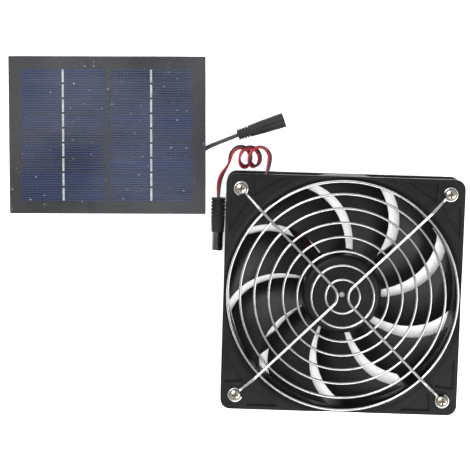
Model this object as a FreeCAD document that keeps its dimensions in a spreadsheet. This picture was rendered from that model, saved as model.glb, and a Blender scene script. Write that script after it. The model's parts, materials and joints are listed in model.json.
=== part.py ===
import FreeCAD, Part
import math
import os
import re

import Sketcher

# A solar attic fan: a boxed axial fan with a chromed wire guard and a short two-wire lead,
# and a small solar panel on its own cable.  Millimetres, +Z up.  The origin is on the fan's
# axis at its rear face; the fan lies on that face and the panel lies beside it.

os.makedirs("parts", exist_ok=True)
doc = FreeCAD.newDocument("solar_attic_fan")
V = FreeCAD.Vector
Z_AXIS = V(0, 0, 1)

DIMENSIONS = {
    # fan frame
    "fan_size": 120, "fan_depth": 25, "corner_round": 5, "flange": 4, "hole_pitch": 105,
    "rear_hole": 2.25, "front_hole": 2.05, "duct_radius": 58, "duct_outer": 60.6, "mouth_round": 4.5,
    "pocket_depth": 1.2, "strut_width": 5, "strut_height": 5,
    "strut_turn": 128.5, "strut_count": 4, "base_radius": 21.5, "base_height": 3,
    "label_radius": 19.5, "label_height": 0.2, "wire_groove": 2.6, "exit_height": 5.2,
    "grommet_radius": 1.9, "grommet_bore": 1.25, "grommet_length": 4.6, "channel_depth": 1.3,
    "wire_start": 18, "wire_length": 39, "wire_drop": 0.66, "wire_apart": 1.24,
    # guard
    "ring_wire": 0.62, "spoke_wire": 0.76, "ring_first": 8.6, "ring_step": 7.15, "ring_inner_count": 7,
    "ring_last": 57.8, "ring_height": 29.5, "weld_sink": 0.15, "eye_radius": 3.05, "spoke_bend": 6.6,
    "rise_low": 69, "rise_high": 61,
    # guard screws and nuts
    "screw_radius": 2, "screw_end": 16.5, "head_radius": 2.85, "head_height": 2.1, "nut_flat": 7,
    "nut_height": 3.2,
    # impeller
    "hub_radius": 20, "hub_round": 3, "hub_top": 22.5, "hub_bottom": 5.8, "hub_wall": 2,
    "hub_roof": 2.2, "blade_count": 9, "blade_reach": 57, "blade_gap": 7, "blade_thick": 1.5,
    "blade_high": 20.5, "blade_low": 8.2, "blade_belly": 1.6, "boss_radius": 3.6, "boss_bottom": 18.8,
    # motor
    "shaft_radius": 1.5, "shaft_bottom": 2.4, "shaft_top": 22.7, "tube_outer": 5.9,
    "tube_bore": 5, "tube_step": 4.3, "tube_top": 18.4, "bearing_height": 4, "rear_bearing": 3.9,
    "front_bearing": 14.3, "race_inner": 2.55, "race_outer": 4.15, "ball_radius": 0.75,
    "ball_count": 7, "core_radius": 15, "core_bottom": 8, "core_height": 8, "core_hub": 8.2,
    "arm_width": 4.4, "magnet_inner": 15.5, "magnet_outer": 17, "magnet_bottom": 6.6,
    "magnet_height": 11.4, "yoke_outer": 18, "board_radius": 16.5, "board_bore": 6.5,
    "board_height": 1.2, "shoe_turn": 34, "capacitor_radius": 1.6, "capacitor_height": 1.4,
    # panel
    "panel_width": 100, "panel_length": 80, "board_thick": 2, "cell_thick": 0.2,
    "cover_thick": 0.4, "cell_width": 42.2, "cell_length": 7.1, "cell_pitch": 7.5, "cell_rows": 9,
    "column_pitch": 44.8, "bar_width": 1, "bar_thick": 0.1, "panel_x": -121.5, "panel_y": 76.5,
    "panel_turn": 1.5,
    # junction box on the back of the panel
    "box_width": 40, "box_length": 28, "box_height": 10, "box_wall": 2, "box_x": -12, "box_y": 4,
    "lid_thick": 1.5, "gland_radius": 2.6, "gland_tip": 1.7, "gland_length": 7,
    "diode_radius": 1.3, "diode_length": 5, "diode_wire": 0.35, "diode_span": 18, "diode_drop": 3.4,
    # cords and their connectors
    "lead_diameter": 2.4, "cable_diameter": 2.1, "coil_x": -95, "coil_y": 55.5, "coil_inner": 7.5,
    "coil_turn_pitch": 2.15, "coil_layers": 4, "coil_layer_turns": 4.5, "plug_radius": 3.6,
    "plug_length": 27.1, "barrel_radius": 2.75, "barrel_length": 9.5, "jack_radius": 3.8,
    "jack_bore": 2.85, "jack_length": 25, "plug_rib": 1.1, "plug_groove": 0.75, "jack_rib": 0.95,
    "jack_groove": 0.55,
}

sheet = doc.addObject("Spreadsheet::Sheet", "Dims")
for row, (alias, number) in enumerate(DIMENSIONS.items(), start=1):
    sheet.set(f"A{row}", alias)
    sheet.set(f"B{row}", str(number))
    sheet.setAlias(f"B{row}", alias)
doc.recompute()

ALIAS = re.compile(r"\b(" + "|".join(DIMENSIONS) + r")\b")
nodes = {}


# ---------------------------------------------------------------- helpers

def bound(text):
    """The expression with every alias pointed at the sheet."""
    return ALIAS.sub(r"Dims.\1", str(text))


def val(text):
    """The number an expression has now."""
    return float(sheet.evalExpression(bound(text)))


def bind(thing, **sizes):
    for name, text in sizes.items():
        thing.setExpression(name.replace("__", "."), bound(text))
    return thing


def node(thing, label):
    """Name a finished sub-part; its label names its file."""
    thing.Label = label
    nodes[label] = thing
    return thing


def new_body(name):
    return doc.addObject("PartDesign::Body", name + "_body")


def origin_plane(body, role):
    return next(f for f in body.Origin.OriginFeatures if f.Role == role)


def new_sketch(body, name, plane="XY_Plane", lift=None, turn=None):
    sk = body.newObject("Sketcher::SketchObject", name)
    sk.AttachmentSupport = [(origin_plane(body, plane), "")]
    sk.MapMode = "FlatFace"
    if turn:
        sk.AttachmentOffset = FreeCAD.Placement(V(0, 0, 0), FreeCAD.Rotation(Z_AXIS, val(turn)))
        sk.setExpression("AttachmentOffset.Rotation.Angle", bound(turn))
    if lift:
        sk.setExpression("AttachmentOffset.Base.z", bound(lift))
    return sk


def pin_point(sk, geometry, end, x, y):
    """Hold one point of a sketch at the bound place (x, y)."""
    for kind, axis, text in (("DistanceX", -2, x), ("DistanceY", -1, y)):
        size = val(text)
        if abs(size) < 1e-9:
            sk.addConstraint(Sketcher.Constraint("PointOnObject", geometry, end, axis))
        else:
            number = sk.addConstraint(Sketcher.Constraint(kind, -1, 1, geometry, end, size))
            sk.setExpression(f"Constraints[{number}]", bound(text))


def draw_circle(sk, radius, x="0", y="0"):
    circle = Part.Circle(V(val(x), val(y), 0), Z_AXIS, val(radius))
    geometry = sk.addGeometry(circle, False)
    number = sk.addConstraint(Sketcher.Constraint("Radius", geometry, val(radius)))
    sk.setExpression(f"Constraints[{number}]", bound(radius))
    pin_point(sk, geometry, 3, x, y)


def draw_outline(sk, vertices):
    """A closed outline.  A vertex is (x, y), or (x, y, radius) where an arc leads on to the
    next vertex; a positive radius has its centre on the left of the way round."""
    corners = [V(val(v[0]), val(v[1]), 0) for v in vertices]
    ends = []
    for i, vertex in enumerate(vertices):
        start = corners[i]
        stop = corners[(i + 1) % len(corners)]
        if len(vertex) == 2:
            geometry = sk.addGeometry(Part.LineSegment(start, stop), False)
            ends.append((geometry, 1, 2))
            continue
        radius = val(vertex[2])
        half = (stop - start) * 0.5
        side = V(-half.y, half.x, 0).normalize() * math.copysign(1, radius)
        centre = start + half + side * math.sqrt(max(radius ** 2 - half.Length ** 2, 0))
        angles = [math.atan2(p.y - centre.y, p.x - centre.x) for p in (start, stop)]
        circle = Part.Circle(centre, Z_AXIS, abs(radius))
        leftward = radius > 0
        first, last = angles if leftward else angles[::-1]
        geometry = sk.addGeometry(Part.ArcOfCircle(circle, first, last), False)
        number = sk.addConstraint(Sketcher.Constraint("Radius", geometry, abs(radius)))
        sk.setExpression(f"Constraints[{number}]", bound(f"abs({vertex[2]})"))
        ends.append((geometry, 1, 2) if leftward else (geometry, 2, 1))
    for i, (geometry, start_end, stop_end) in enumerate(ends):
        after = ends[(i + 1) % len(ends)]
        sk.addConstraint(Sketcher.Constraint("Coincident", geometry, stop_end, after[0], after[1]))
        pin_point(sk, geometry, start_end, vertices[i][0], vertices[i][1])


def draw_box(sk, x0, y0, x1, y1):
    draw_outline(sk, [(x0, y0), (x1, y0), (x1, y1), (x0, y1)])


def pad(body, sk, length, name):
    feature = body.newObject("PartDesign::Pad", name)
    feature.Profile = sk
    feature.setExpression("Length", bound(length))
    return feature


def pocket(body, sk, length, name, upward=False):
    feature = body.newObject("PartDesign::Pocket", name)
    feature.Profile = sk
    feature.Reversed = upward
    feature.setExpression("Length", bound(length))
    return feature


def polar(body, originals, count, name):
    feature = body.newObject("PartDesign::PolarPattern", name)
    feature.Originals = originals
    feature.Axis = (origin_plane(body, "Z_Axis"), [""])
    feature.Angle = 360
    feature.setExpression("Occurrences", bound(count))
    body.Tip = feature
    return feature


def turned_body(name, vertices):
    """A body revolved about Z from an outline of (radius, height) vertices."""
    body = new_body(name)
    sk = new_sketch(body, name + "_profile", "XZ_Plane")
    draw_outline(sk, vertices)
    feature = body.newObject("PartDesign::Revolution", name + "_turn")
    feature.Profile = sk
    feature.ReferenceAxis = (sk, ["V_Axis"])
    feature.Angle = 360
    return body


def turned(label, vertices):
    return node(turned_body(label, vertices), label)


def ring(label, inner, outer, bottom, top):
    return turned(label, [(inner, bottom), (outer, bottom), (outer, top), (inner, top)])


def block(name, x0, y0, z0, x1, y1, z1):
    """A Part box between two bound corners."""
    box = doc.addObject("Part::Box", name)
    bind(box, Length=f"({x1}) - ({x0})", Width=f"({y1}) - ({y0})", Height=f"({z1}) - ({z0})")
    bind(box, Placement__Base__x=x0, Placement__Base__y=y0, Placement__Base__z=z0)
    return box


def copies(label, source, placements):
    """A node of separate solids: one source shape at each placement."""
    links = []
    for number, placement in enumerate(placements):
        link = doc.addObject("App::Link", f"{label}_{number}")
        link.LinkedObject = source
        link.LinkTransform = False
        link.Placement = placement
        links.append(link)
    compound = doc.addObject("Part::Compound", label + "_set")
    compound.Links = links
    return node(compound, label)


def turned_places(count, first=0.0):
    return [FreeCAD.Placement(V(0, 0, 0), FreeCAD.Rotation(Z_AXIS, first + 360.0 * i / count))
            for i in range(count)]


def corner_places(pitch):
    half = val(pitch) / 2
    return [FreeCAD.Placement(V(sx * half, sy * half, 0), FreeCAD.Rotation())
            for sx, sy in ((1, 1), (-1, 1), (-1, -1), (1, -1))]


def bent_path(points, radii):
    """Straight runs joined by tangent arcs; radii has one entry per inner point."""
    edges = []
    last = points[0]
    for i in range(1, len(points) - 1):
        before = (points[i - 1] - points[i]).normalize()
        beyond = (points[i + 1] - points[i]).normalize()
        half_turn = (math.pi - before.getAngle(beyond)) / 2
        back = radii[i - 1] * math.tan(half_turn)
        start = points[i] + before * back
        stop = points[i] + beyond * back
        inward = (before + beyond).normalize()
        middle = points[i] + inward * (radii[i - 1] / math.cos(half_turn) - radii[i - 1])
        edges.append(Part.LineSegment(last, start).toShape())
        edges.append(Part.Arc(start, middle, stop).toShape())
        last = stop
    edges.append(Part.LineSegment(last, points[-1]).toShape())
    return Part.Wire(edges)


def swept(path, radius):
    """A round rod or tube of cord along a path."""
    start = path.Edges[0].Vertexes[0].Point
    heading = path.Edges[0].tangentAt(path.Edges[0].FirstParameter)
    section = Part.Wire([Part.makeCircle(radius, start, heading)])
    return path.makePipeShell([section], True, False)


def shaped(name, shape, placement=None):
    feature = doc.addObject("Part::Feature", name)
    feature.Shape = shape
    if placement:
        feature.Placement = placement
    return feature


def cord(label, points, diameter):
    """The plain tube of a cord: each arc as large as its two runs allow."""
    radii = []
    for i in range(1, len(points) - 1):
        shorter = min((points[i] - points[i - 1]).Length, (points[i + 1] - points[i]).Length)
        turn = math.pi - (points[i - 1] - points[i]).getAngle(points[i + 1] - points[i])
        radii.append(0.45 * shorter / math.tan(turn / 2))
    path = bent_path(points, radii)
    tube = node(shaped(label + "_tube", swept(path, diameter / 2)), label)
    ideal = math.pi * (diameter / 2) ** 2 * path.Length
    print(label, "length", round(path.Length, 1), "radii", [round(r, 1) for r in radii],
          "volume ratio", round(tube.Shape.Volume / ideal, 4))
    return tube


# ---------------------------------------------------------------- fan frame

def make_fan_frame():
    body = new_body("frame")
    blank = new_sketch(body, "duct_profile", "XZ_Plane")
    draw_outline(blank, [
        ("duct_radius", "0"),
        ("fan_size", "0"),
        ("fan_size", "fan_depth"),
        ("duct_radius + mouth_round", "fan_depth", "mouth_round"),
        ("duct_radius", "fan_depth - mouth_round"),
    ])
    turn = body.newObject("PartDesign::Revolution", "duct")
    turn.Profile = blank
    turn.ReferenceAxis = (blank, ["V_Axis"])
    turn.Angle = 360

    outside = new_sketch(body, "outside", lift="fan_depth")
    draw_circle(outside, "fan_size * 1.5")
    draw_box(outside, "-fan_size / 2", "-fan_size / 2", "fan_size / 2", "fan_size / 2")
    square = pocket(body, outside, "fan_depth", "square")
    doc.recompute()

    upright = []
    for number, edge in enumerate(square.Shape.Edges, start=1):
        ends = [v.Point for v in edge.Vertexes]
        if len(ends) == 2 and abs(ends[0].z - ends[1].z) > 1:
            if min(abs(ends[0].x), abs(ends[0].y)) > val("fan_size / 2") - 0.01:
                upright.append(f"Edge{number}")
    rounding = body.newObject("PartDesign::Fillet", "corners")
    rounding.Base = (square, upright)
    rounding.setExpression("Radius", bound("corner_round"))
    doc.recompute()

    waist = new_sketch(body, "waist", lift="fan_depth - flange")
    draw_circle(waist, "fan_size * 1.5")
    draw_circle(waist, "duct_outer")
    pocket(body, waist, "fan_depth - 2 * flange", "waist_cut")

    # the front holes take the guard's screws; the rear ones are left free for the mounting bolts
    for name, radius, lift in (("front_holes", "front_hole", "fan_depth"),
                               ("rear_holes", "rear_hole", "fan_depth / 2")):
        holes = new_sketch(body, name, lift=lift)
        for sx, sy in ((1, 1), (-1, 1), (-1, -1), (1, -1)):
            draw_circle(holes, radius, f"{sx} * hole_pitch / 2", f"{sy} * hole_pitch / 2")
        pocket(body, holes, "fan_depth / 2", name + "_cut")

    first = new_sketch(body, "corner_pocket", lift="fan_depth")
    draw_outline(first, [("31", "58"), ("45.5", "48.5"), ("46.5", "58")])
    first_cut = pocket(body, first, "pocket_depth", "corner_pocket_cut")
    second = new_sketch(body, "side_pocket", lift="fan_depth")
    draw_outline(second, [("58", "31"), ("58", "46.5"), ("48.5", "45.5")])
    second_cut = pocket(body, second, "pocket_depth", "side_pocket_cut")
    polar(body, [first_cut, second_cut], "4", "pockets")

    strut = new_sketch(body, "strut", turn="strut_turn")
    draw_box(strut, "18", "-strut_width / 2", "duct_radius + 1", "strut_width / 2")
    strut_pad = pad(body, strut, "strut_height", "strut_pad")
    polar(body, [strut_pad], "strut_count", "struts")

    base = new_sketch(body, "base")
    draw_circle(base, "base_radius")
    pad(body, base, "base_height", "base_pad")

    bore = new_sketch(body, "bore", lift="base_height")
    draw_circle(bore, "tube_outer")
    pocket(body, bore, "base_height", "bore_cut")

    recess = new_sketch(body, "label_recess")
    draw_circle(recess, "label_radius + 0.3")
    pocket(body, recess, "label_height + 0.15", "label_recess_cut", upward=True)

    groove = new_sketch(body, "wire_channel", lift="strut_height", turn="strut_turn")
    draw_box(groove, "17", "-wire_groove / 2", "duct_outer + 1", "wire_groove / 2")
    channel = pocket(body, groove, "channel_depth", "wire_channel_cut")
    body.Tip = channel

    drill = doc.addObject("Part::Cylinder", "wire_hole")
    bind(drill, Radius="grommet_radius", Height="8")
    drill.Placement = along_strut(56.5, val("exit_height"))
    frame = doc.addObject("Part::Cut", "frame_cut")
    frame.Base = body
    frame.Tool = drill
    node(frame, "fan_frame")


def along_strut(radius, height):
    """The placement that turns +Z outwards along the wired strut, at a radius and height."""
    angle = val("strut_turn")
    outward = FreeCAD.Rotation(Z_AXIS, angle).multVec(V(1, 0, 0))
    lean = FreeCAD.Rotation(Z_AXIS, outward)
    return FreeCAD.Placement(outward * radius + V(0, 0, height), lean)


def make_lead_inlet():
    """The rubber bush in the duct wall and the two wires that lie in the strut's channel."""
    bush = turned("lead_grommet", [
        ("grommet_bore", "0"),
        ("grommet_radius", "0"),
        ("grommet_radius", "grommet_length"),
        ("grommet_bore", "grommet_length"),
    ])
    bush.Placement = along_strut(57.4, val("exit_height"))
    wires = []
    apart = val("wire_apart / 2")
    for number, side in enumerate((-1, 1)):
        wire = doc.addObject("Part::Cylinder", f"strut_wire_{number}")
        bind(wire, Radius="lead_diameter / 4 - 0.02", Height="wire_length")
        wire.Placement = along_strut(val("wire_start"), val("strut_height - wire_drop"))
        outward = wire.Placement.Rotation.multVec(Z_AXIS)
        sideways = V(-outward.y, outward.x, 0)
        wire.Placement.Base = wire.Placement.Base + sideways * (side * apart)
        wires.append(wire)
    pair = doc.addObject("Part::Compound", "strut_wires_set")
    pair.Links = wires
    node(pair, "strut_wires")


# ---------------------------------------------------------------- wire guard

def make_guard():
    rings = []
    radii = [f"ring_first + {i} * ring_step" for i in range(int(val("ring_inner_count")))]
    for number, radius in enumerate(radii + ["ring_last"]):
        hoop = doc.addObject("Part::Torus", f"ring_{number}")
        bind(hoop, Radius1=radius, Radius2="ring_wire", Placement__Base__z="ring_height")
        rings.append(hoop)
    hoops = doc.addObject("Part::Compound", "rings_set")
    hoops.Links = rings
    node(hoops, "guard_rings")

    low = val("fan_depth + spoke_wire")
    high = val("ring_height + ring_wire + spoke_wire - weld_sink")
    spokes = []
    for side in (-1, 1):
        arms = [V(side, 1, 0).normalize(), V(side, -1, 0).normalize()]
        screw_at = val("hole_pitch / 2") * math.sqrt(2)
        eye_at = screw_at - val("eye_radius")
        upper, lower = arms
        points = [
            upper * eye_at + V(0, 0, low),
            upper * val("rise_low") + V(0, 0, low),
            upper * val("rise_high") + V(0, 0, high),
            V(0, 0, high),
            lower * val("rise_high") + V(0, 0, high),
            lower * val("rise_low") + V(0, 0, low),
            lower * eye_at + V(0, 0, low),
        ]
        easy = 4
        path = bent_path(points, [easy, easy, val("spoke_bend"), easy, easy])
        pieces = [shaped(f"spoke_rod_{side + 1}", swept(path, val("spoke_wire")))]
        for arm in arms:
            eye = doc.addObject("Part::Torus", "eye")
            bind(eye, Radius1="eye_radius", Radius2="spoke_wire", Angle3="300")
            inward = math.degrees(math.atan2(-arm.y, -arm.x))
            eye.Placement = FreeCAD.Placement(arm * screw_at + V(0, 0, low),
                                              FreeCAD.Rotation(Z_AXIS, inward))
            pieces.append(eye)
        spoke = doc.addObject("Part::MultiFuse", f"spoke_{side + 1}")
        spoke.Shapes = pieces
        spokes.append(spoke)
    pair = doc.addObject("Part::Compound", "spokes_set")
    pair.Links = spokes
    node(pair, "guard_spokes")


def make_fasteners():
    seat = "fan_depth + 2 * spoke_wire"
    screw = turned_body("screw", [
        ("0", "screw_end"),
        ("screw_radius - 0.4", "screw_end"),
        ("screw_radius", "screw_end + 0.6"),
        ("screw_radius", seat),
        ("head_radius", seat),
        ("head_radius", f"{seat} + head_height * 0.45", "head_radius * 1.46"),
        ("0", f"{seat} + head_height"),
    ])
    cross = new_sketch(screw, "cross", lift=f"{seat} + head_height + 0.2")
    arm, slot = "1.7", "0.42"
    draw_outline(cross, [
        (arm, f"-{slot}"), (arm, slot), (slot, slot), (slot, arm), (f"-{slot}", arm),
        (f"-{slot}", slot), (f"-{arm}", slot), (f"-{arm}", f"-{slot}"), (f"-{slot}", f"-{slot}"),
        (f"-{slot}", f"-{arm}"), (slot, f"-{arm}"), (slot, f"-{slot}"),
    ])
    pocket(screw, cross, "head_height * 0.6", "cross_cut")
    copies("guard_screws", screw, corner_places("hole_pitch"))

    nut = new_body("nut")
    hexagon = new_sketch(nut, "hexagon", lift="fan_depth - flange - nut_height")
    corner = "nut_flat / 2 / cos(30)"
    draw_outline(hexagon, [(f"{corner} * cos({60 * i})", f"{corner} * sin({60 * i})")
                           for i in range(6)])
    draw_circle(hexagon, "screw_radius")
    pad(nut, hexagon, "nut_height", "nut_pad")
    copies("guard_nuts", nut, corner_places("hole_pitch"))


# ---------------------------------------------------------------- impeller

def blade_section(radius, start_turn):
    """One closed section of a blade, square to the radius at the blade's middle."""
    span = 360.0 / val("blade_count") - val("blade_gap")
    middle_turn = math.radians(start_turn + span / 2)
    reach = radius * math.tan(math.radians(span / 2))
    outward = V(math.cos(middle_turn), math.sin(middle_turn), 0)
    along = V(-math.sin(middle_turn), math.cos(middle_turn), 0)
    thick = V(0, 0, val("blade_thick"))
    tail = outward * radius - along * reach + V(0, 0, val("blade_low"))
    nose = outward * radius + along * reach + V(0, 0, val("blade_high") - val("blade_thick"))
    belly = (tail + nose) * 0.5 + V(0, 0, val("blade_belly"))
    top = Part.Arc(tail + thick, belly + thick, nose + thick).toShape()
    under = Part.Arc(nose, belly, tail).toShape()
    front = Part.LineSegment(nose + thick, nose).toShape()
    rear = Part.LineSegment(tail, tail + thick).toShape()
    return Part.Wire([top, front, under, rear])


def make_impeller():
    hub = turned_body("hub", [
        ("shaft_radius", "boss_bottom"),
        ("boss_radius", "boss_bottom"),
        ("boss_radius", "hub_top - hub_roof"),
        ("hub_radius - hub_wall", "hub_top - hub_roof"),
        ("hub_radius - hub_wall", "hub_bottom"),
        ("hub_radius", "hub_bottom"),
        ("hub_radius", "hub_top - hub_round", "hub_round"),
        ("hub_radius - hub_round", "hub_top"),
        ("shaft_radius", "hub_top"),
    ])
    doc.recompute()
    # the blades sweep forward as they go out: (radius, turn in degrees) of each section
    sweep = ((18.6, -2.0), (27, 2.5), (36, 8), (46, 16.5), (54, 26), (61, 37))
    half_gap = val("blade_gap") / 2
    sections = [blade_section(radius, turn + half_gap) for radius, turn in sweep]
    loft = Part.makeLoft(sections, True, False)
    reach = Part.makeCylinder(val("blade_reach"), val("fan_depth"))
    core = Part.makeCylinder(val("hub_radius") - val("hub_wall") + 0.4, val("fan_depth"))
    blade = loft.common(reach).cut(core)
    blades = [shaped(f"blade_{i}", blade, place)
              for i, place in enumerate(turned_places(int(val("blade_count")), first=1.5))]
    impeller = doc.addObject("Part::MultiFuse", "impeller_fuse")
    impeller.Shapes = [hub] + blades
    node(impeller, "impeller")


# ---------------------------------------------------------------- motor

def make_motor():
    ring("bearing_tube", "tube_step", "tube_outer", "0.6", "tube_top")
    # the bores for the bearings are wider than the step between them
    tube = nodes["bearing_tube"]
    rear_end = "rear_bearing + bearing_height"
    for name, lift, depth in (("rear_seat", rear_end, rear_end),
                              ("front_seat", "tube_top", "tube_top - front_bearing")):
        sk = new_sketch(tube, name, lift=lift)
        draw_circle(sk, "tube_bore")
        pocket(tube, sk, depth, name + "_cut")

    turned("shaft", [
        ("0", "shaft_bottom"),
        ("shaft_radius", "shaft_bottom"),
        ("shaft_radius", "rear_bearing - 0.7"),
        ("shaft_radius - 0.4", "rear_bearing - 0.7"),
        ("shaft_radius - 0.4", "rear_bearing - 0.2"),
        ("shaft_radius", "rear_bearing - 0.2"),
        ("shaft_radius", "shaft_top - 0.3"),
        ("shaft_radius - 0.3", "shaft_top"),
        ("0", "shaft_top"),
    ])
    ring("shaft_clip", "shaft_radius - 0.4", "shaft_radius + 1", "rear_bearing - 0.65",
         "rear_bearing - 0.25")

    for label, inner, outer in (("bearing_inner_rings", "shaft_radius", "race_inner"),
                                ("bearing_outer_rings", "race_outer", "tube_bore")):
        race = turned_body(label, [(inner, "0"), (outer, "0"), (outer, "bearing_height"),
                                   (inner, "bearing_height")])
        copies(label, race, bearing_places())
    balls = []
    ball_circle = val("(race_inner + race_outer) / 2")
    for base in bearing_places():
        for place in turned_places(int(val("ball_count"))):
            ball = doc.addObject("Part::Sphere", "ball")
            bind(ball, Radius="ball_radius")
            centre = place.Rotation.multVec(V(ball_circle, 0, val("bearing_height") / 2))
            ball.Placement.Base = centre + base.Base
            balls.append(ball)
    ball_set = doc.addObject("Part::Compound", "balls_set")
    ball_set.Links = balls
    node(ball_set, "bearing_balls")
    ring("wave_washer", "race_outer + 0.1", "tube_bore - 0.05", "front_bearing",
         "front_bearing + 0.25")

    core = new_body("core")
    boss = new_sketch(core, "core_boss", lift="core_bottom")
    draw_circle(boss, "core_hub")
    draw_circle(boss, "tube_outer")
    pad(core, boss, "core_height", "core_boss_pad")
    arm = new_sketch(core, "core_arm", lift="core_bottom")
    draw_box(arm, "core_hub - 1", "-arm_width / 2", "core_radius - 1.6", "arm_width / 2")
    arm_pad = pad(core, arm, "core_height", "core_arm_pad")
    shoe = new_sketch(core, "core_shoe", lift="core_bottom")
    outer, inner = "core_radius", "(core_radius - 2)"
    draw_outline(shoe, [
        (f"{inner} * cos(-shoe_turn)", f"{inner} * sin(-shoe_turn)"),
        (f"{outer} * cos(-shoe_turn)", f"{outer} * sin(-shoe_turn)", outer),
        (f"{outer} * cos(shoe_turn)", f"{outer} * sin(shoe_turn)"),
        (f"{inner} * cos(shoe_turn)", f"{inner} * sin(shoe_turn)", f"-{inner}"),
    ])
    shoe_pad = pad(core, shoe, "core_height", "core_shoe_pad")
    polar(core, [arm_pad, shoe_pad], "4", "core_poles")
    node(core, "stator_core")

    bobbin = sleeve("bobbin", "core_hub + 0.3", "core_radius - 2.4", "arm_width / 2", "0.5")
    copies("stator_bobbins", bobbin, turned_places(4))
    winding = sleeve("winding", "core_hub + 0.6", "core_radius - 2.7", "arm_width / 2 + 0.5", "1.5")
    copies("stator_windings", winding, turned_places(4))

    ring("magnet_ring", "magnet_inner", "magnet_outer", "magnet_bottom",
         "magnet_bottom + magnet_height")
    ring("yoke_ring", "magnet_outer", "yoke_outer", "magnet_bottom",
         "magnet_bottom + magnet_height")
    ring("control_board", "board_bore", "board_radius", "base_height", "base_height + board_height")
    top = "base_height + board_height"
    parts = [
        block("driver_chip", "-2", "9.5", top, "2", "12.5", f"{top} + 1.2"),
        block("hall_chip", "11", "-1.5", top, "13.4", "1.5", f"{top} + 1"),
        block("resistor", "-13", "-1", top, "-11.4", "1.2", f"{top} + 0.6"),
    ]
    capacitor = doc.addObject("Part::Cylinder", "capacitor")
    bind(capacitor, Radius="capacitor_radius", Height="capacitor_height", Placement__Base__y="-11.5",
         Placement__Base__z=top)
    chips = doc.addObject("Part::Compound", "chips_set")
    chips.Links = parts + [capacitor]
    node(chips, "board_components")
    ring("motor_label", "0.01", "label_radius", "0.15", "0.15 + label_height")


def bearing_places():
    return [FreeCAD.Placement(V(0, 0, val(text)), FreeCAD.Rotation())
            for text in ("rear_bearing", "front_bearing + 0.25")]


def sleeve(name, start, stop, half_hole, wall):
    """A square tube round one stator arm along X."""
    low, high = "core_bottom", "core_bottom + core_height"
    grow = f"({half_hole} - arm_width / 2)"
    outer = block(name + "_outer", start, f"-({half_hole} + {wall})", f"{low} - {grow} - {wall}",
                  stop, f"{half_hole} + {wall}", f"{high} + {grow} + {wall}")
    inner = block(name + "_inner", f"{start} - 1", f"-({half_hole})", f"{low} - {grow}",
                  f"{stop} + 1", half_hole, f"{high} + {grow}")
    tube = doc.addObject("Part::Cut", name)
    tube.Base = outer
    tube.Tool = inner
    return tube


# ---------------------------------------------------------------- solar panel

def panel_place():
    """The panel's own frame: its centre, at its underside."""
    centre = V(val("panel_x"), val("panel_y"), val("box_height"))
    return FreeCAD.Placement(centre, FreeCAD.Rotation(Z_AXIS, val("panel_turn")))


def make_panel():
    place = panel_place()
    board = new_body("panel_board")
    sk = new_sketch(board, "panel_outline")
    draw_box(sk, "-panel_width / 2", "-panel_length / 2", "panel_width / 2", "panel_length / 2")
    pad(board, sk, "board_thick", "panel_board_pad")
    node(board, "panel_board").Placement = place

    cover = new_body("panel_cover")
    sk = new_sketch(cover, "cover_outline", lift="board_thick + cell_thick + bar_thick")
    draw_box(sk, "-panel_width / 2", "-panel_length / 2", "panel_width / 2", "panel_length / 2")
    pad(cover, sk, "cover_thick - bar_thick", "cover_pad")
    node(cover, "panel_cover").Placement = place

    # the clear filler round the cells is left out, so the cover rests on the busbars' plane
    cell = block("cell", "-cell_width / 2", "-cell_length / 2", "board_thick",
                 "cell_width / 2", "cell_length / 2", "board_thick + cell_thick")
    bar = block("bar", "-bar_width / 2", "-cell_length / 2 + 0.3", "board_thick + cell_thick",
                "bar_width / 2", "cell_length / 2 - 0.3", "board_thick + cell_thick + bar_thick")
    rows = int(val("cell_rows"))
    for label, source in (("panel_cells", cell), ("panel_busbars", bar)):
        places = []
        for side in (-0.5, 0.5):
            for number in range(rows):
                drop = V(side * val("column_pitch"),
                         (number - (rows - 1) / 2) * val("cell_pitch"), 0)
                places.append(FreeCAD.Placement(source_corner(source) + drop, FreeCAD.Rotation()))
        copies(label, source, places).Placement = place


def source_corner(box):
    doc.recompute()
    return FreeCAD.Vector(box.Placement.Base)


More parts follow.
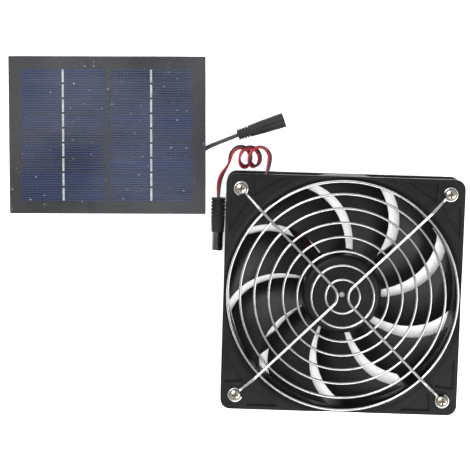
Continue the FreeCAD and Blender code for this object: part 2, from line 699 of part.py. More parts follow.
def make_junction_box():
    place = panel_place()
    x0, x1 = "box_x - box_width / 2", "box_x + box_width / 2"
    y0, y1 = "box_y - box_length / 2", "box_y + box_length / 2"
    body = new_body("junction_box")
    sk = new_sketch(body, "box_outline", lift="lid_thick - box_height")
    draw_box(sk, x0, y0, x1, y1)
    pad(body, sk, "box_height - lid_thick", "box_pad")
    hollow = new_sketch(body, "box_hollow", lift="lid_thick - box_height")
    draw_box(hollow, f"{x0} + box_wall", f"{y0} + box_wall", f"{x1} - box_wall", f"{y1} - box_wall")
    pocket(body, hollow, "box_height - lid_thick - box_wall", "box_hollow_cut", upward=True)
    port = doc.addObject("Part::Cylinder", "port")
    bind(port, Radius="gland_radius - 0.6", Height="box_wall + 2")
    port.Placement = FreeCAD.Placement(V(val("box_x"), val(y0) - 1, -val("box_height") / 2),
                                       FreeCAD.Rotation(V(1, 0, 0), -90))
    shell = doc.addObject("Part::Cut", "junction_box_cut")
    shell.Base = body
    shell.Tool = port
    node(shell, "junction_box").Placement = place

    lid = new_body("junction_lid")
    sk = new_sketch(lid, "lid_outline", lift="-box_height")
    draw_box(sk, x0, y0, x1, y1)
    pad(lid, sk, "lid_thick", "lid_pad")
    node(lid, "junction_lid").Placement = place

    tabs = [block("tab_left", "box_x - 12", "box_y - 2", "-2.4", "box_x - 7", "box_y + 2", "-2"),
            block("tab_right", "box_x + 7", "box_y - 2", "-2.4", "box_x + 12", "box_y + 2", "-2")]
    tab_set = doc.addObject("Part::Compound", "tabs_set")
    tab_set.Links = tabs
    node(tab_set, "terminal_tabs").Placement = place
    level = val("box_y"), -val("diode_drop")
    diode = doc.addObject("Part::Cylinder", "diode_body")
    bind(diode, Radius="diode_radius", Height="diode_length")
    diode.Placement = FreeCAD.Placement(V(val("box_x - diode_length / 2"), *level),
                                        FreeCAD.Rotation(V(0, 1, 0), 90))
    lead = doc.addObject("Part::Cylinder", "diode_lead")
    bind(lead, Radius="diode_wire", Height="diode_span")
    lead.Placement = FreeCAD.Placement(V(val("box_x - diode_span / 2"), *level),
                                       FreeCAD.Rotation(V(0, 1, 0), 90))
    series = doc.addObject("Part::Fuse", "diode_fuse")
    series.Base = diode
    series.Tool = lead
    node(series, "blocking_diode").Placement = place

    gland = turned("box_gland", [
        ("cable_diameter / 2", "0"),
        ("gland_tip", "0"),
        ("gland_radius", "gland_length"),
        ("gland_radius - 0.6", "gland_length"),
        ("gland_radius - 0.6", "gland_length + box_wall"),
        ("cable_diameter / 2", "gland_length + box_wall"),
    ])
    gland.Placement = place.multiply(FreeCAD.Placement(
        V(val("box_x"), val(y0) - val("gland_length"), -val("box_height") / 2),
        FreeCAD.Rotation(V(1, 0, 0), -90)))


# ---------------------------------------------------------------- cords and connectors

def lying_place(tip, heading):
    """A connector's placement: its +Z points along the heading, its base at the tip point."""
    return FreeCAD.Placement(tip, FreeCAD.Rotation(Z_AXIS, heading))


def make_plug():
    """The fan's DC plug: +Z runs from the wires' end to the barrel's tip."""
    cable_end = V(-64.2, 45.8, 3.75)
    tip = V(-64.2, 19.2, 3.75)
    place = lying_place(cable_end, tip - cable_end)
    body_length = "(plug_length - barrel_length)"
    ribs = []
    rib, gap = val("plug_rib"), val("plug_groove")
    for number in range(5):
        bottom = round(number * (rib + gap), 3)
        ribs += [("plug_radius", f"{bottom}"), ("plug_radius", f"{bottom + rib}")]
        ribs += [("plug_radius - 0.6", f"{bottom + rib}"),
                 ("plug_radius - 0.6", f"{bottom + rib + gap}")]
    turned("plug_body", [("0", "0")] + ribs + [
        ("plug_radius - 0.05", f"{5 * (rib + gap)}"),
        ("plug_radius - 0.4", body_length),
        ("barrel_radius - 0.2", body_length),
        ("barrel_radius - 0.2", f"{body_length} - 3"),
        ("0", f"{body_length} - 3"),
    ]).Placement = place
    start, stop = f"({body_length} - 3)", f"({body_length} + barrel_length)"
    turned("plug_barrel", [
        ("barrel_radius - 0.5", start),
        ("barrel_radius - 0.2", start),
        ("barrel_radius - 0.2", body_length),
        ("barrel_radius", body_length),
        ("barrel_radius", f"{stop} - 0.3"),
        ("barrel_radius - 0.2", stop),
        ("barrel_radius - 0.5", stop),
    ]).Placement = place
    ring("plug_insulator", "1.35", "barrel_radius - 0.5", start, f"{stop} - 0.2").Placement = place
    ring("plug_contact", "1.05", "1.35", start, f"{stop} - 0.5").Placement = place


def make_jack():
    """The panel's DC socket: +Z runs from the cable's end to the open mouth."""
    cable_end = V(-55.1, 78.4, 3.85)
    mouth = V(-31.7, 86.8, 3.85)
    place = lying_place(cable_end, mouth - cable_end)
    grooves = []
    rib, gap = val("jack_rib"), val("jack_groove")
    for number in range(4):
        bottom = round(number * (rib + gap), 3)
        wide = f"2.75 + {0.06 * number:.2f}"
        grooves += [(wide, f"{bottom}"), (wide, f"{bottom + rib:.3f}")]
        grooves += [("2.25", f"{bottom + rib:.3f}"), ("2.25", f"{bottom + rib + gap:.3f}")]
    turned("jack_body", [("0", "0")] + grooves + [
        ("2.95", f"{4 * (rib + gap):.3f}"),
        ("jack_radius - 0.35", "jack_length * 0.55"),
        ("jack_radius", "jack_length - 0.4"),
        ("jack_radius - 0.4", "jack_length"),
        ("jack_bore", "jack_length"),
        ("jack_bore", "jack_length - 10"),
        ("0", "jack_length - 10"),
    ]).Placement = place
    ring("jack_sleeve", "jack_bore - 0.2", "jack_bore", "jack_length - 10",
         "jack_length - 2").Placement = place
    turned("jack_pin", [
        ("0", "jack_length - 10"),
        ("1", "jack_length - 10"),
        ("1", "jack_length - 1.6", "1"),
        ("0", "jack_length - 0.6"),
    ]).Placement = place


def make_cords():
    # the two-wire lead: out of the duct wall, into its curls, round the corner to the plug
    lead = val("lead_diameter")
    cord("fan_lead_tail", [
        V(-38.7, 48.6, 5.2), V(-40.3, 52.6, 5.5), V(-40.1, 57.4, 5.9), V(-39.3, 62.4, 5.0),
    ], lead)
    half_wide, half_high, along = 6.1, 4.35, 21.5
    oval = Part.Wire([Part.Ellipse(V(0, 0, 0), half_wide, half_high).toShape()])
    curls = Part.Face(oval).extrude(V(0, 0, along))
    sideways = FreeCAD.Rotation(V(0, 1, 0), V(0, 0, 1), V(-1, 0, 0), "ZXY")
    node(shaped("curls_oval", curls, FreeCAD.Placement(
        V(-38.4, 67.3, half_high), sideways)), "fan_lead_curls")
    cord("fan_lead_run", [
        V(-58.6, 66.6, 3.4), V(-60.4, 62.8, 2.2), V(-63.0, 58.4, 1.5), V(-64.5, 52.6, 2.1),
        V(-64.2, 45.8, 3.75),
    ], lead)

    # the panel's cable: out of its gland, into a flat coil, and out from under the panel
    cable = val("cable_diameter")
    place = panel_place()
    gland_tip = place.multVec(V(val("box_x"), val("box_y - box_length / 2 - gland_length"),
                                -val("box_height / 2")))
    centre = V(val("coil_x"), val("coil_y"), 0)
    outer = val("coil_inner + coil_layer_turns * coil_turn_pitch")
    join = centre + V(math.cos(math.radians(258)), math.sin(math.radians(258)), 0) * outer
    cord("panel_cable_tail", [
        gland_tip, gland_tip + V(0.4, -4.5, -1.0), gland_tip + V(2.15, -8.9, -3.0),
        gland_tip + V(6.55, -13.2, -3.9), gland_tip + V(13.55, -16.6, -3.93),
        gland_tip + V(23.55, -19.1, -3.93), V(join.x, join.y, cable / 2),
    ], cable)
    height = val("coil_layers * coil_turn_pitch")
    ring("panel_cable_coil", "coil_inner - cable_diameter / 2",
         "coil_inner + coil_layer_turns * coil_turn_pitch + cable_diameter / 2", "0",
         "coil_layers * coil_turn_pitch").Placement.Base = centre
    cord("panel_cable_run", [
        V(centre.x + outer, centre.y, height - cable / 2),
        V(centre.x + outer + 0.2, centre.y + 6.0, height - 2.0),
        V(centre.x + outer + 2.0, centre.y + 11.4, height - 4.4),
        V(-71.6, 71.0, 2.1),
        V(-66.0, 73.6, 1.3),
        V(-60.4, 76.0, 2.0),
        V(-55.1, 78.4, 3.85),
    ], cable)


# ---------------------------------------------------------------- build, check and write

make_fan_frame()
make_lead_inlet()
make_guard()
make_fasteners()
make_impeller()
make_motor()
make_panel()
make_junction_box()
make_plug()
make_jack()
make_cords()
doc.recompute()

for item in doc.Objects:
    if "Invalid" in item.State or "Error" in item.State:
        raise RuntimeError(f"{item.Label} failed: {item.State}")
for label, thing in nodes.items():
    if thing.Shape.isNull() or not thing.Shape.isValid():
        raise RuntimeError(f"{label} has no valid shape")
    thing.Shape.exportStep(f"parts/{label}.step")
    box = thing.Shape.BoundBox
    print(f"{label:22s} solids {len(thing.Shape.Solids):2d} volume {thing.Shape.Volume:9.1f}"
          f"  z {box.ZMin:7.2f} .. {box.ZMax:7.2f}")
print(len(nodes), "sub-parts written")
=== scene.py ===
import json
import math

import bmesh
import bpy
from mathutils import Matrix, Vector


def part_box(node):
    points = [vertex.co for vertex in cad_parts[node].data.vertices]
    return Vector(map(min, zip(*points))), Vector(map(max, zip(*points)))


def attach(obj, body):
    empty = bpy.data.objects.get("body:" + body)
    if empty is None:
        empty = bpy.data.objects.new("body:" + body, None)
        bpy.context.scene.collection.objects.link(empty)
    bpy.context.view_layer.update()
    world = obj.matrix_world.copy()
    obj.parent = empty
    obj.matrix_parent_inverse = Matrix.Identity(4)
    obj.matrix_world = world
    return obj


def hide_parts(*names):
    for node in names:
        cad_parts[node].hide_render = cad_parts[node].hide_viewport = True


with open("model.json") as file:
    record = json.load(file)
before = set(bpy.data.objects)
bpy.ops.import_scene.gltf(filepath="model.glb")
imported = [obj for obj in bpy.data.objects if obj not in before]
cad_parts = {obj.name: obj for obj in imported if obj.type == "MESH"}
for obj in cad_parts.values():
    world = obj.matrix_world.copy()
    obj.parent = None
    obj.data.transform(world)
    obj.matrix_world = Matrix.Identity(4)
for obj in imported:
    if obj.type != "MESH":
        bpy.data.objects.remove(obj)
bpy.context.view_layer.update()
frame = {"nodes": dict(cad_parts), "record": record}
nodes = frame["nodes"]

MM = 0.001
PANEL_TURN = math.radians(1.5)
STRUT_TURN = math.radians(128.5)

# the flat coil of spare cable: the radii are those of its turns' middles, in millimetres
COIL_CENTRE = Vector((-95.0, 55.5, 0.0)) * MM
COIL_INNER, COIL_PITCH, COIL_LAYERS = 7.5, 2.15, 4
COIL_OUTER = COIL_INNER + COIL_PITCH * 4.5


# ---------------------------------------------------------------- camera, lights and floor

def make_camera():
    data = bpy.data.cameras.new("camera")
    data.lens = 119.86
    data.sensor_width = 36
    data.clip_start = 0.01
    camera = bpy.data.objects.new("camera", data)
    camera.location = (-0.04816, 0.11064, 0.808)
    camera.rotation_euler = [math.radians(a) for a in (-5.94, 0.67, 1.68)]
    bpy.context.collection.objects.link(camera)
    bpy.context.scene.camera = camera


def area_light(name, place, target, size, power, mirrored=True):
    data = bpy.data.lights.new(name, "AREA")
    data.shape = "RECTANGLE"
    data.size, data.size_y = size
    data.energy = power
    light = bpy.data.objects.new(name, data)
    light.location = place
    aim = Vector(target) - Vector(place)
    light.rotation_euler = aim.to_track_quat("-Z", "Y").to_euler()
    light.visible_glossy = mirrored
    bpy.context.collection.objects.link(light)


def make_stage():
    middle = (-0.05, 0.03, 0.0)
    area_light("key", (-0.75, 0.85, 1.0), middle, (0.9, 0.7), 15)
    area_light("fill", (0.9, -0.45, 0.8), middle, (0.9, 0.7), 10)
    area_light("front", (0.15, -0.85, 1.1), middle, (0.9, 0.6), 9)
    area_light("down", (-0.04, 0.08, 1.3), middle, (0.4, 0.4), 22, mirrored=False)
    world = bpy.data.worlds.new("world")
    world.use_nodes = True
    sky = world.node_tree.nodes["Background"]
    sky.inputs["Color"].default_value = (1, 1, 1, 1)
    sky.inputs["Strength"].default_value = 0.55
    bpy.context.scene.world = world
    bpy.context.scene.view_settings.view_transform = "Standard"

    data = bpy.data.meshes.new("floor")
    half = 2.5
    data.from_pydata([(-half, -half, 0), (half, -half, 0), (half, half, 0), (-half, half, 0)], [],
                     [(0, 1, 2, 3)])
    floor = bpy.data.objects.new("floor", data)
    floor.location.z = -0.0002
    bpy.context.collection.objects.link(floor)
    paint = Paint("floor_paper", (0.93, 0.93, 0.93), rough=0.7)
    paint.vary(paint.noise(40), (0.92, 0.92, 0.92), (0.945, 0.945, 0.945))
    floor.data.materials.append(paint.material)


# ---------------------------------------------------------------- materials

class Paint:
    """A Principled material whose colour, roughness and bump come from procedural textures."""

    def __init__(self, name, colour, rough=0.5, metal=0.0, coat=0.0, coat_rough=0.1, spec=0.5):
        self.material = bpy.data.materials.new(name)
        self.material.use_nodes = True
        self.tree = self.material.node_tree
        self.shader = self.tree.nodes["Principled BSDF"]
        values = {"Base Color": (*colour, 1), "Roughness": rough, "Metallic": metal,
                  "Coat Weight": coat, "Coat Roughness": coat_rough, "Specular IOR Level": spec}
        for socket, value in values.items():
            self.shader.inputs[socket].default_value = value
        self.coords = self.tree.nodes.new("ShaderNodeTexCoord").outputs["Object"]
        self.last_bump = None

    def link(self, output, target):
        self.tree.links.new(output, target)

    def new(self, kind, **settings):
        made = self.tree.nodes.new("ShaderNode" + kind)
        for name, value in settings.items():
            setattr(made, name, value)
        return made

    def mapped(self, stretch=(1, 1, 1), turn=0.0, shift=(0, 0, 0)):
        mapping = self.new("Mapping")
        mapping.inputs["Scale"].default_value = stretch
        mapping.inputs["Rotation"].default_value = (0, 0, turn)
        mapping.inputs["Location"].default_value = shift
        self.link(self.coords, mapping.inputs["Vector"])
        return mapping.outputs["Vector"]

    def noise(self, scale, detail=3.0, stretch=(1, 1, 1), turn=0.0):
        made = self.new("TexNoise")
        made.inputs["Scale"].default_value = scale
        made.inputs["Detail"].default_value = detail
        self.link(self.mapped(stretch, turn), made.inputs["Vector"])
        return made.outputs["Fac"]

    def cells(self, scale, feature="F1", stretch=(1, 1, 1)):
        made = self.new("TexVoronoi", feature=feature)
        made.inputs["Scale"].default_value = scale
        self.link(self.mapped(stretch), made.inputs["Vector"])
        return made

    def math(self, operation, first, second=0.0, clamp=False):
        made = self.new("Math", operation=operation, use_clamp=clamp)
        for socket, value in zip(made.inputs, (first, second)):
            if isinstance(value, (int, float)):
                socket.default_value = value
            else:
                self.link(value, socket)
        return made.outputs[0]

    def spread(self, socket, low, high, to_low=0.0, to_high=1.0):
        made = self.new("MapRange")
        for name, value in (("From Min", low), ("From Max", high), ("To Min", to_low),
                            ("To Max", to_high)):
            made.inputs[name].default_value = value
        self.link(socket, made.inputs["Value"])
        return made.outputs["Result"]

    def mix(self, factor, first, second):
        made = self.new("Mix", data_type="RGBA")
        for socket, value in ((made.inputs[0], factor), (made.inputs[6], first),
                              (made.inputs[7], second)):
            if isinstance(value, (int, float)):
                socket.default_value = value
            elif isinstance(value, tuple):
                socket.default_value = (*value, 1)
            else:
                self.link(value, socket)
        return made.outputs[2]

    def colour(self, socket):
        self.link(socket, self.shader.inputs["Base Color"])
        return self

    def vary(self, socket, first, second, low=0.35, high=0.65):
        return self.colour(self.mix(self.spread(socket, low, high), first, second))

    def gloss(self, socket, smooth, rough, low=0.3, high=0.7):
        self.link(self.spread(socket, low, high, smooth, rough), self.shader.inputs["Roughness"])
        return self

    def soften(self, radius):
        """Shade the edges as if they were rounded by this much."""
        made = self.new("Bevel", samples=4)
        made.inputs["Radius"].default_value = radius
        self.last_bump = made.outputs["Normal"]

    def bump(self, socket, depth, strength=0.6):
        made = self.new("Bump")
        made.inputs["Strength"].default_value = strength
        made.inputs["Distance"].default_value = depth
        self.link(socket, made.inputs["Height"])
        if self.last_bump:
            self.link(self.last_bump, made.inputs["Normal"])
        self.last_bump = made.outputs["Normal"]
        self.link(self.last_bump, self.shader.inputs["Normal"])
        return self


def moulded(name, dark, light, rough=(0.38, 0.55), grain=2600, depth=0.00006, edge=0.0):
    """Moulded plastic: a fine spark texture, faint flow marks and a little dust."""
    paint = Paint(name, dark, spec=0.2)
    if edge:
        paint.soften(edge)
    flow = paint.noise(55, 5, stretch=(1, 1, 2))
    dust = paint.spread(paint.noise(900, 6), 0.62, 0.8, 0, 0.35)
    paint.colour(paint.mix(dust, paint.mix(paint.spread(flow, 0.35, 0.7), dark, light),
                           tuple(c * 2 + 0.006 for c in light)))
    paint.gloss(flow, *rough)
    return paint.bump(paint.noise(grain, 3), depth).material


def metal(name, first, second, rough=(0.1, 0.22), scale=260, depth=0.00002, stretch=(1, 1, 1)):
    """Plated or ground metal with faint cloudy wear and hairlines."""
    paint = Paint(name, first, metal=1.0)
    cloud = paint.noise(scale, 4, stretch=stretch)
    paint.vary(cloud, first, second)
    paint.gloss(paint.noise(scale * 0.4, 3), *rough)
    return paint.bump(paint.noise(scale * 9, 2, stretch=stretch), depth, 0.3).material


def screw_nickel():
    """Warm nickel plate, with painted shade darkening the cross-shaped recess."""
    paint = Paint("screw_nickel", (0.62, 0.55, 0.46), metal=1.0)
    parts = paint.new("SeparateXYZ")
    paint.link(paint.coords, parts.inputs["Vector"])
    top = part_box("guard_screws")[1].z
    # Painted shade: the colour goes dark below the head's top, down in the cross recess.
    recess_floor = top - 1.1 * MM
    recess_shade_mask = paint.spread(parts.outputs["Z"], recess_floor, recess_floor + 0.35 * MM)
    plate = paint.mix(paint.noise(300, 4), (0.62, 0.55, 0.46), (0.46, 0.41, 0.35))
    paint.colour(paint.mix(recess_shade_mask, (0.08, 0.07, 0.06), plate))
    paint.gloss(paint.noise(120, 3), 0.16, 0.34)
    return paint.bump(paint.noise(2400, 2), 0.00002, 0.3).material


def laminated_steel():
    paint = Paint("core_steel", (0.3, 0.3, 0.31), metal=1.0)
    sheets = paint.new("TexWave", bands_direction="Z")
    sheets.inputs["Scale"].default_value = 640
    paint.link(paint.coords, sheets.inputs["Vector"])
    paint.vary(paint.noise(300), (0.26, 0.26, 0.27), (0.4, 0.39, 0.38))
    paint.gloss(paint.noise(500), 0.35, 0.55)
    return paint.bump(sheets.outputs["Fac"], 0.00008).material


def wound_copper():
    paint = Paint("copper_wire", (0.55, 0.2, 0.08), metal=0.8, coat=0.4)
    turns = paint.new("TexWave", bands_direction="X")
    turns.inputs["Scale"].default_value = 900
    paint.link(paint.coords, turns.inputs["Vector"])
    # Painted light and shade across each turn: dark in the grooves between turns, light on the crests.
    paint.colour(paint.mix(turns.outputs["Fac"], (0.3, 0.09, 0.03), (0.72, 0.29, 0.12)))
    paint.gloss(paint.noise(700), 0.25, 0.4)
    return paint.bump(turns.outputs["Fac"], 0.00015).material


def circuit_board():
    paint = Paint("circuit_board", (0.01, 0.1, 0.04), coat=0.4, coat_rough=0.2)
    tracks = paint.cells(420, "DISTANCE_TO_EDGE").outputs["Distance"]
    copper = paint.spread(tracks, 0.05, 0.09)
    paint.colour(paint.mix(copper, (0.02, 0.2, 0.07), (0.008, 0.09, 0.035)))
    paint.gloss(paint.noise(300), 0.3, 0.45)
    return paint.bump(tracks, 0.00003).material


def label_paper():
    paint = Paint("label_paper", (0.62, 0.62, 0.6))
    paint.vary(paint.noise(1200, 6), (0.58, 0.58, 0.56), (0.68, 0.68, 0.66))
    paint.gloss(paint.noise(90), 0.45, 0.6)
    return paint.bump(paint.noise(2500, 4), 0.00002).material


def panel_black():
    """The dark laminate under and round the cells, with its fine woven core showing through."""
    paint = Paint("panel_black", (0.035, 0.035, 0.04), coat=0.1, coat_rough=0.25, spec=0.3)
    weave = paint.new("TexBrick")
    weave.inputs["Scale"].default_value = 900
    weave.inputs["Color1"].default_value = (0.015, 0.0155, 0.018, 1)
    weave.inputs["Color2"].default_value = (0.01, 0.0105, 0.0125, 1)
    weave.inputs["Mortar"].default_value = (0.006, 0.006, 0.0075, 1)
    paint.link(paint.mapped(turn=-PANEL_TURN), weave.inputs["Vector"])
    cloud = paint.spread(paint.noise(30, 4), 0.3, 0.7, 0.0, 0.3)
    paint.colour(paint.mix(cloud, weave.outputs["Color"], (0.02, 0.019, 0.02)))
    paint.gloss(paint.noise(120, 4), 0.3, 0.5)
    return paint.bump(weave.outputs["Fac"], 0.00002).material


def solar_cell(low, pitch):
    """Blue-black silicon: fine fingers across each strip, and a tint that differs per strip."""
    paint = Paint("solar_cell", (0.01, 0.02, 0.07), coat=0.3, coat_rough=0.06, spec=0.3)
    vector = paint.mapped(turn=-PANEL_TURN)
    parts = paint.new("SeparateXYZ")
    paint.link(vector, parts.inputs["Vector"])
    along, across = parts.outputs["X"], parts.outputs["Y"]
    strip = paint.math("FLOOR", paint.math("DIVIDE", paint.math("SUBTRACT", across, low), pitch))
    between_columns = -0.12
    column = paint.math("GREATER_THAN", along, between_columns)
    seed = paint.new("CombineXYZ")
    paint.link(strip, seed.inputs["X"])
    paint.link(column, seed.inputs["Y"])
    lot = paint.new("TexWhiteNoise", noise_dimensions="3D")
    paint.link(seed.outputs["Vector"], lot.inputs["Vector"])
    streak = paint.noise(30, 3, stretch=(1, 8, 1), turn=-PANEL_TURN)
    tint = paint.mix(lot.outputs["Value"], (0.0055, 0.0065, 0.014), (0.003, 0.0075, 0.03))
    tint = paint.mix(paint.spread(streak, 0.4, 0.7, 0, 0.45), tint, (0.006, 0.011, 0.032))
    finger_pitch, finger_half_width = pitch / 6, 0.1
    saw = paint.math("FRACT", paint.math("DIVIDE", paint.math("SUBTRACT", across, low),
                                          finger_pitch))
    off_middle = paint.math("ABSOLUTE", paint.math("SUBTRACT", saw, 0.5))
    finger = paint.math("LESS_THAN", off_middle, finger_half_width)
    tint = paint.mix(paint.math("MULTIPLY", finger, 0.7), tint, (0.045, 0.053, 0.085))
    grain = paint.cells(700).outputs["Color"]
    hue = paint.new("RGBToBW")
    paint.link(grain, hue.inputs["Color"])
    paint.colour(paint.mix(paint.math("MULTIPLY", hue.outputs["Val"], 0.2), tint,
                           (0.008, 0.018, 0.05)))
    paint.gloss(streak, 0.22, 0.38)
    return paint.bump(finger, 0.00002, 0.4).material


def panel_film():
    """The clear cover: almost invisible, with a faint haze and light specks of dust."""
    paint = Paint("panel_film", (0.75, 0.78, 0.82), rough=0.16)
    points = paint.cells(420)
    lot = paint.new("SeparateColor")
    paint.link(points.outputs["Color"], lot.inputs["Color"])
    near = paint.math("LESS_THAN", points.outputs["Distance"],
                      paint.math("MULTIPLY", lot.outputs["Green"], 0.13))
    speck = paint.math("MULTIPLY", near, paint.math("GREATER_THAN", lot.outputs["Red"], 0.6))
    haze = paint.spread(paint.noise(18, 5), 0.35, 0.75, 0.0, 0.012)
    paint.link(paint.math("ADD", haze, paint.math("MULTIPLY", speck, 0.32), clamp=True),
               paint.shader.inputs["Alpha"])
    paint.vary(paint.noise(200), (0.7, 0.74, 0.8), (0.85, 0.86, 0.88))
    return paint.bump(paint.noise(500, 2), 0.00001, 0.3).material


def ribbon():
    paint = Paint("tinned_ribbon", (0.72, 0.72, 0.7), metal=0.85)
    paint.vary(paint.noise(700, 5), (0.4, 0.4, 0.39), (0.62, 0.62, 0.6))
    paint.gloss(paint.noise(400, 3), 0.28, 0.5)
    return paint.bump(paint.noise(1500, 3), 0.00003).material


def insulation(name, dark, light):
    """Thin PVC on a wire: a waxy sheen and a few scuffs."""
    paint = Paint(name, dark, coat=0.25, coat_rough=0.2)
    paint.vary(paint.noise(700, 4), dark, light)
    paint.gloss(paint.noise(1200, 3), 0.3, 0.48)
    return paint.bump(paint.noise(3500, 3), 0.00003).material


def strut_pair():
    """The two wires in the strut's channel: red on one side, black on the other."""
    paint = Paint("strut_pair", (0.3, 0.01, 0.02), coat=0.25, coat_rough=0.2)
    parts = paint.new("SeparateXYZ")
    paint.link(paint.mapped(turn=-STRUT_TURN), parts.inputs["Vector"])
    side = paint.math("GREATER_THAN", parts.outputs["Y"], 0.0)
    paint.colour(paint.mix(side, (0.03, 0.001, 0.002), (0.004, 0.004, 0.0045)))
    paint.gloss(paint.noise(900), 0.3, 0.45)
    return paint.material


def make_materials():
    cells_low, cells_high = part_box("panel_cells")
    pitch, strips = 7.5 * MM, 9
    middle = Matrix.Rotation(-PANEL_TURN, 3, "Z") @ ((cells_low + cells_high) / 2)
    first_strip = middle.y - strips / 2 * pitch
    return {
        "frame_plastic": moulded("frame_plastic", (0.003, 0.003, 0.0032), (0.006, 0.006, 0.0065),
                                 edge=0.6 * MM),
        "impeller_plastic": moulded("impeller_plastic", (0.004, 0.004, 0.0045),
                                    (0.008, 0.008, 0.009), rough=(0.3, 0.46), grain=3600, depth=0.00003),
        "guard_chrome": metal("guard_chrome", (0.6, 0.6, 0.61), (0.5, 0.5, 0.51), (0.16, 0.3)),
        "screw_nickel": screw_nickel(),
        "bright_steel": metal("bright_steel", (0.68, 0.68, 0.69), (0.55, 0.55, 0.56), (0.2, 0.35)),
        "core_steel": laminated_steel(),
        "brass_tube": metal("brass_tube", (0.72, 0.52, 0.24), (0.6, 0.42, 0.2), (0.22, 0.38)),
        "copper_wire": wound_copper(),
        "magnet": moulded("magnet", (0.03, 0.03, 0.032), (0.05, 0.05, 0.05), rough=(0.6, 0.75)),
        "bobbin_plastic": moulded("bobbin_plastic", (0.6, 0.57, 0.48), (0.7, 0.67, 0.58)),
        "circuit_board": circuit_board(),
        "chip_plastic": moulded("chip_plastic", (0.012, 0.012, 0.012), (0.03, 0.03, 0.03)),
        "label_paper": label_paper(),
        "panel_black": panel_black(),
        "panel_film": panel_film(),
        "solar_cell": solar_cell(first_strip, pitch),
        "tinned_ribbon": ribbon(),
        "box_plastic": moulded("box_plastic", (0.014, 0.014, 0.015), (0.03, 0.03, 0.03)),
        "black_rubber": moulded("black_rubber", (0.012, 0.012, 0.012), (0.03, 0.03, 0.03),
                                rough=(0.55, 0.75)),
        "connector_plastic": moulded("connector_plastic", (0.007, 0.007, 0.0075),
                                     (0.014, 0.014, 0.015), rough=(0.42, 0.6), grain=4200, depth=0.00004),
        "connector_insulator": moulded("connector_insulator", (0.4, 0.38, 0.32), (0.5, 0.48, 0.42)),
        "dark_nickel": metal("dark_nickel", (0.16, 0.16, 0.17), (0.11, 0.11, 0.12), (0.2, 0.34)),
        "lead_insulation": strut_pair(),
        "red_insulation": insulation("red_insulation", (0.2, 0.003, 0.008), (0.3, 0.01, 0.018)),
        "black_insulation": insulation("black_insulation", (0.006, 0.006, 0.0065),
                                       (0.015, 0.015, 0.016)),
        "cable_jacket": insulation("cable_jacket", (0.006, 0.006, 0.0065), (0.015, 0.015, 0.016)),
    }


# ---------------------------------------------------------------- cords

def route_curve(name, points, diameter=0.0):
    """A smooth cord line: one open NURBS spline through the route's own points."""
    data = bpy.data.curves.new(name, "CURVE")
    data.dimensions = "3D"
    data.resolution_u = 8
    data.bevel_depth = diameter / 2
    data.bevel_resolution = 4
    data.use_fill_caps = True
    spline = data.splines.new("NURBS")
    spline.points.add(len(points) - 1)
    for point, place in zip(spline.points, points):
        point.co = (*place, 1)
    spline.order_u = 3
    spline.use_endpoint_u = True
    obj = bpy.data.objects.new(name, data)
    bpy.context.collection.objects.link(obj)
    return obj


def line_points(points, step):
    """Points read from the route's NURBS spline, evenly spaced."""
    probe = route_curve("probe", points)
    bpy.context.view_layer.update()
    mesh = bpy.data.meshes.new_from_object(probe)
    raw = [v.co.copy() for v in mesh.vertices]
    bpy.data.objects.remove(probe)
    bpy.data.meshes.remove(mesh)
    spaced = [raw[0]]
    travelled = 0.0
    for before, after in zip(raw, raw[1:]):
        gap = (after - before).length
        while travelled + gap >= step:
            before = before.lerp(after, (step - travelled) / gap)
            spaced.append(before.copy())
            gap = (after - before).length
            travelled = 0.0
        travelled += gap
    if (raw[-1] - spaced[-1]).length > step * 0.3:
        spaced.append(raw[-1])
    return spaced


def carried_axes(line):
    """Each point of a line with two axes square to it, carried along without twisting."""
    normal = Vector((0, 0, 1))
    for i, point in enumerate(line):
        ahead = line[min(i + 1, len(line) - 1)] - line[max(i - 1, 0)]
        tangent = ahead.normalized()
        normal = (normal - tangent * normal.dot(tangent)).normalized()
        yield point, normal, tangent.cross(normal)


def strand(mesh, line, radius, offset, turns_per_metre, phase, slot, sides=12):
    """One round wire laid along a line, wound slowly round it at an offset."""
    centres = []
    travelled = 0.0
    before = line[0]
    for point, normal, across in carried_axes(line):
        travelled += (point - before).length
        before = point
        angle = phase + travelled * turns_per_metre * math.tau
        centres.append(point + (normal * math.cos(angle) + across * math.sin(angle)) * offset)
    rings = []
    for centre, normal, across in carried_axes(centres):
        ring = []
        for side in range(sides):
            angle = math.tau * side / sides
            ring.append(mesh.verts.new(centre + (normal * math.cos(angle)
                                                 + across * math.sin(angle)) * radius))
        rings.append(ring)
    for ring, following in zip(rings, rings[1:]):
        for side in range(sides):
            beyond = (side + 1) % sides
            face = mesh.faces.new((ring[side], ring[beyond], following[beyond], following[side]))
            face.smooth = True
            face.material_index = slot
    for ring in (rings[0][::-1], rings[-1]):
        mesh.faces.new(ring).material_index = slot


def finished_piece(name, mesh, *materials):
    """An object made from a finished bmesh, which is freed."""
    data = bpy.data.meshes.new(name)
    mesh.to_mesh(data)
    mesh.free()
    for material in materials:
        data.materials.append(material)
    piece = bpy.data.objects.new(name, data)
    bpy.context.collection.objects.link(piece)
    return piece


def lead_route():
    """Out of the duct's wall, two and a half leaning curls, and down to the plug."""
    tail = [(-38.7, 48.6, 5.2), (-40.3, 52.6, 5.5), (-40.1, 57.4, 5.9), (-39.0, 62.0, 4.4)]
    curls = []
    points_per_turn, curl_points = 14, 36
    for i in range(curl_points):
        turn = math.tau * i / points_per_turn
        size = 1.03 + 0.05 * math.sin(1.3 * turn / 2 + 0.6)
        across = -42.3 - 5.0 * turn / math.tau + 3.9 * size * math.cos(turn)
        curls.append((across, 67.4 + 4.9 * size * math.sin(turn),
                      4.45 - 2.95 * size * math.cos(turn)))
    run = [(-59.3, 63.9, 5.4), (-60.7, 61.2, 3.2), (-63.0, 57.6, 1.7), (-64.5, 52.2, 2.1),
           (-64.2, 45.8, 3.75)]
    return [Vector(p) * MM for p in tail + curls + run]


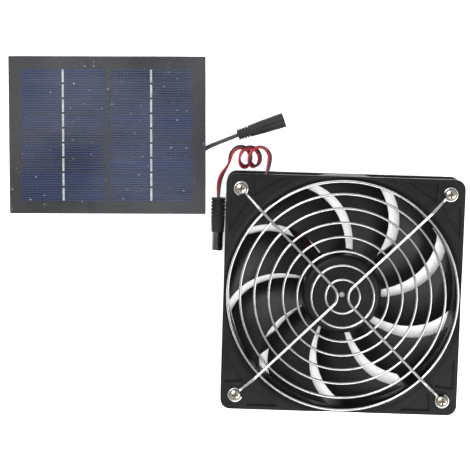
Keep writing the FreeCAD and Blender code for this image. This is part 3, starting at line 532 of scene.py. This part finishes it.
def make_fan_lead(finish):
    """The red and black wires, side by side, in one mesh."""
    line = line_points(lead_route(), 0.6 * MM)
    mesh = bmesh.new()
    wire, offset, twist = 0.6 * MM, 0.61 * MM, 26
    strand(mesh, line, wire, offset, twist, math.radians(90), 0)
    strand(mesh, line, wire, offset, twist, math.radians(270), 1)
    lead = finished_piece("fan_lead", mesh, finish["red_insulation"], finish["black_insulation"])
    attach(lead, "fan")
    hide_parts("fan_lead_tail", "fan_lead_curls", "fan_lead_run")


def make_coil_tie(name, angle, finish):
    """A flat strap that goes once round the coil's section, as a rounded rectangle."""
    strap, width, corner = 0.4 * MM, 2.2 * MM, 1.3 * MM
    cable_radius = 1.05 * MM
    middle = (COIL_INNER + COIL_OUTER) / 2 * MM
    half_wide = (COIL_OUTER - COIL_INNER) / 2 * MM + cable_radius + strap
    low, high = 0.05 * MM, (COIL_PITCH * COIL_LAYERS) * MM + strap
    outward = Vector((math.cos(angle), math.sin(angle), 0))
    sideways = Vector((-math.sin(angle), math.cos(angle), 0))
    up = Vector((0, 0, 1))
    mesh = bmesh.new()
    rings = []
    steps = 6
    section = [(corner, -width / 2), (corner, width / 2),
               (corner - strap, width / 2), (corner - strap, -width / 2)]
    for number in range(4):
        side = 1 if number in (0, 3) else -1
        top = 1 if number < 2 else -1
        pivot = (outward * (middle + side * (half_wide - corner))
                 + up * (high - corner if top > 0 else low + corner))
        for step in range(steps + 1):
            turn = math.radians(90 * number + 90 * step / steps)
            radial = outward * math.cos(turn) + up * math.sin(turn)
            edge = [pivot + radial * reach + sideways * across
                    for reach, across in section]
            rings.append([mesh.verts.new(COIL_CENTRE + place) for place in edge])
    for ring, following in zip(rings, rings[1:] + rings[:1]):
        for here in range(4):
            beyond = (here + 1) % 4
            mesh.faces.new((ring[here], following[here], following[beyond], ring[beyond]))
    bmesh.ops.recalc_face_normals(mesh, faces=mesh.faces)
    tie = finished_piece(name, mesh, finish["black_rubber"])
    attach(tie, "panel")
    return tie


def cable_route():
    """Out of the gland, round the flat coil from its bottom layer up, and out to the socket."""
    tail = [(-133.05, 59.19, 5.0), (-132.65, 54.7, 4.0), (-130.9, 50.3, 2.0), (-126.5, 46.0, 1.1),
            (-119.5, 42.6, 1.07), (-109.5, 40.1, 1.07)]
    centre_x, centre_y = COIL_CENTRE.x / MM, COIL_CENTRE.y / MM
    points_per_turn, first_angle, turns = 14, 258.0, 18.283
    lowest, climb_starts, climb_part = 1.07, 0.93, 0.07
    layer_turns = turns / COIL_LAYERS
    coil = []
    for i in range(int(turns * points_per_turn) + 1):
        done = i / points_per_turn
        layer = min(int(done / layer_turns), COIL_LAYERS - 1)
        part = done / layer_turns - layer
        inward = part if layer % 2 == 0 else 1 - part
        radius = COIL_OUTER - (COIL_OUTER - COIL_INNER) * inward
        climb = max(0.0, (part - climb_starts) / climb_part) if layer < COIL_LAYERS - 1 else 0.0
        angle = math.radians(first_angle) + math.tau * done
        coil.append((centre_x + radius * math.cos(angle), centre_y + radius * math.sin(angle),
                     lowest + COIL_PITCH * (layer + climb)))
    run = [(-77.6, 61.5, 6.6), (-75.8, 66.9, 4.2), (-71.6, 71.0, 2.1), (-66.0, 73.6, 1.3),
           (-60.4, 76.0, 2.0), (-55.1, 78.4, 3.85)]
    return [Vector(p) * MM for p in tail + coil + run]


def make_panel_cable(finish):
    """The panel's cable, which runs out to the socket, with the coil's two straps."""
    route = cable_route()
    cable = route_curve("panel_cable", route, 2.1 * MM)
    cable.data.materials.append(finish["cable_jacket"])
    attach(cable, "panel")
    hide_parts("panel_cable_tail", "panel_cable_coil", "panel_cable_run")
    carried = [nodes[n] for n in ("jack_body", "jack_sleeve", "jack_pin")]
    carried += [make_coil_tie("coil_tie_a", math.radians(90), finish),
                make_coil_tie("coil_tie_b", math.radians(215), finish)]
    line = line_points(route, 1.0 * MM)


# ---------------------------------------------------------------- small detail pieces

def make_welds(finish):
    """The flattened weld where each ring meets each spoke wire."""
    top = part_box("guard_rings")[1].z
    radii = [8.6 + 7.15 * n for n in range(1, 7)] + [57.8]
    mesh = bmesh.new()
    for radius in radii:
        for quarter in range(4):
            angle = math.radians(45 + 90 * quarter)
            place = Vector((radius * MM * math.cos(angle), radius * MM * math.sin(angle),
                            top - 0.12 * MM))
            pose = (Matrix.Translation(place) @ Matrix.Rotation(angle, 4, "Z")
                    @ Matrix.Diagonal((1.15, 1.3, 0.5, 1)))
            bmesh.ops.create_icosphere(mesh, subdivisions=2, radius=0.66 * MM, matrix=pose)
    for face in mesh.faces:
        face.smooth = True
    welds = finished_piece("guard_welds", mesh, finish["guard_chrome"])
    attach(welds, "fan")


# ---------------------------------------------------------------- build

make_camera()
finishes = make_materials()
make_fan_lead(finishes)
make_panel_cable(finishes)
make_stage()
make_welds(finishes)

slots = {part["node"]: part["material_slot"] for part in frame["record"]["subparts"]}
for name, obj in nodes.items():
    obj.data.materials.clear()
    obj.data.materials.append(finishes[slots[name]])
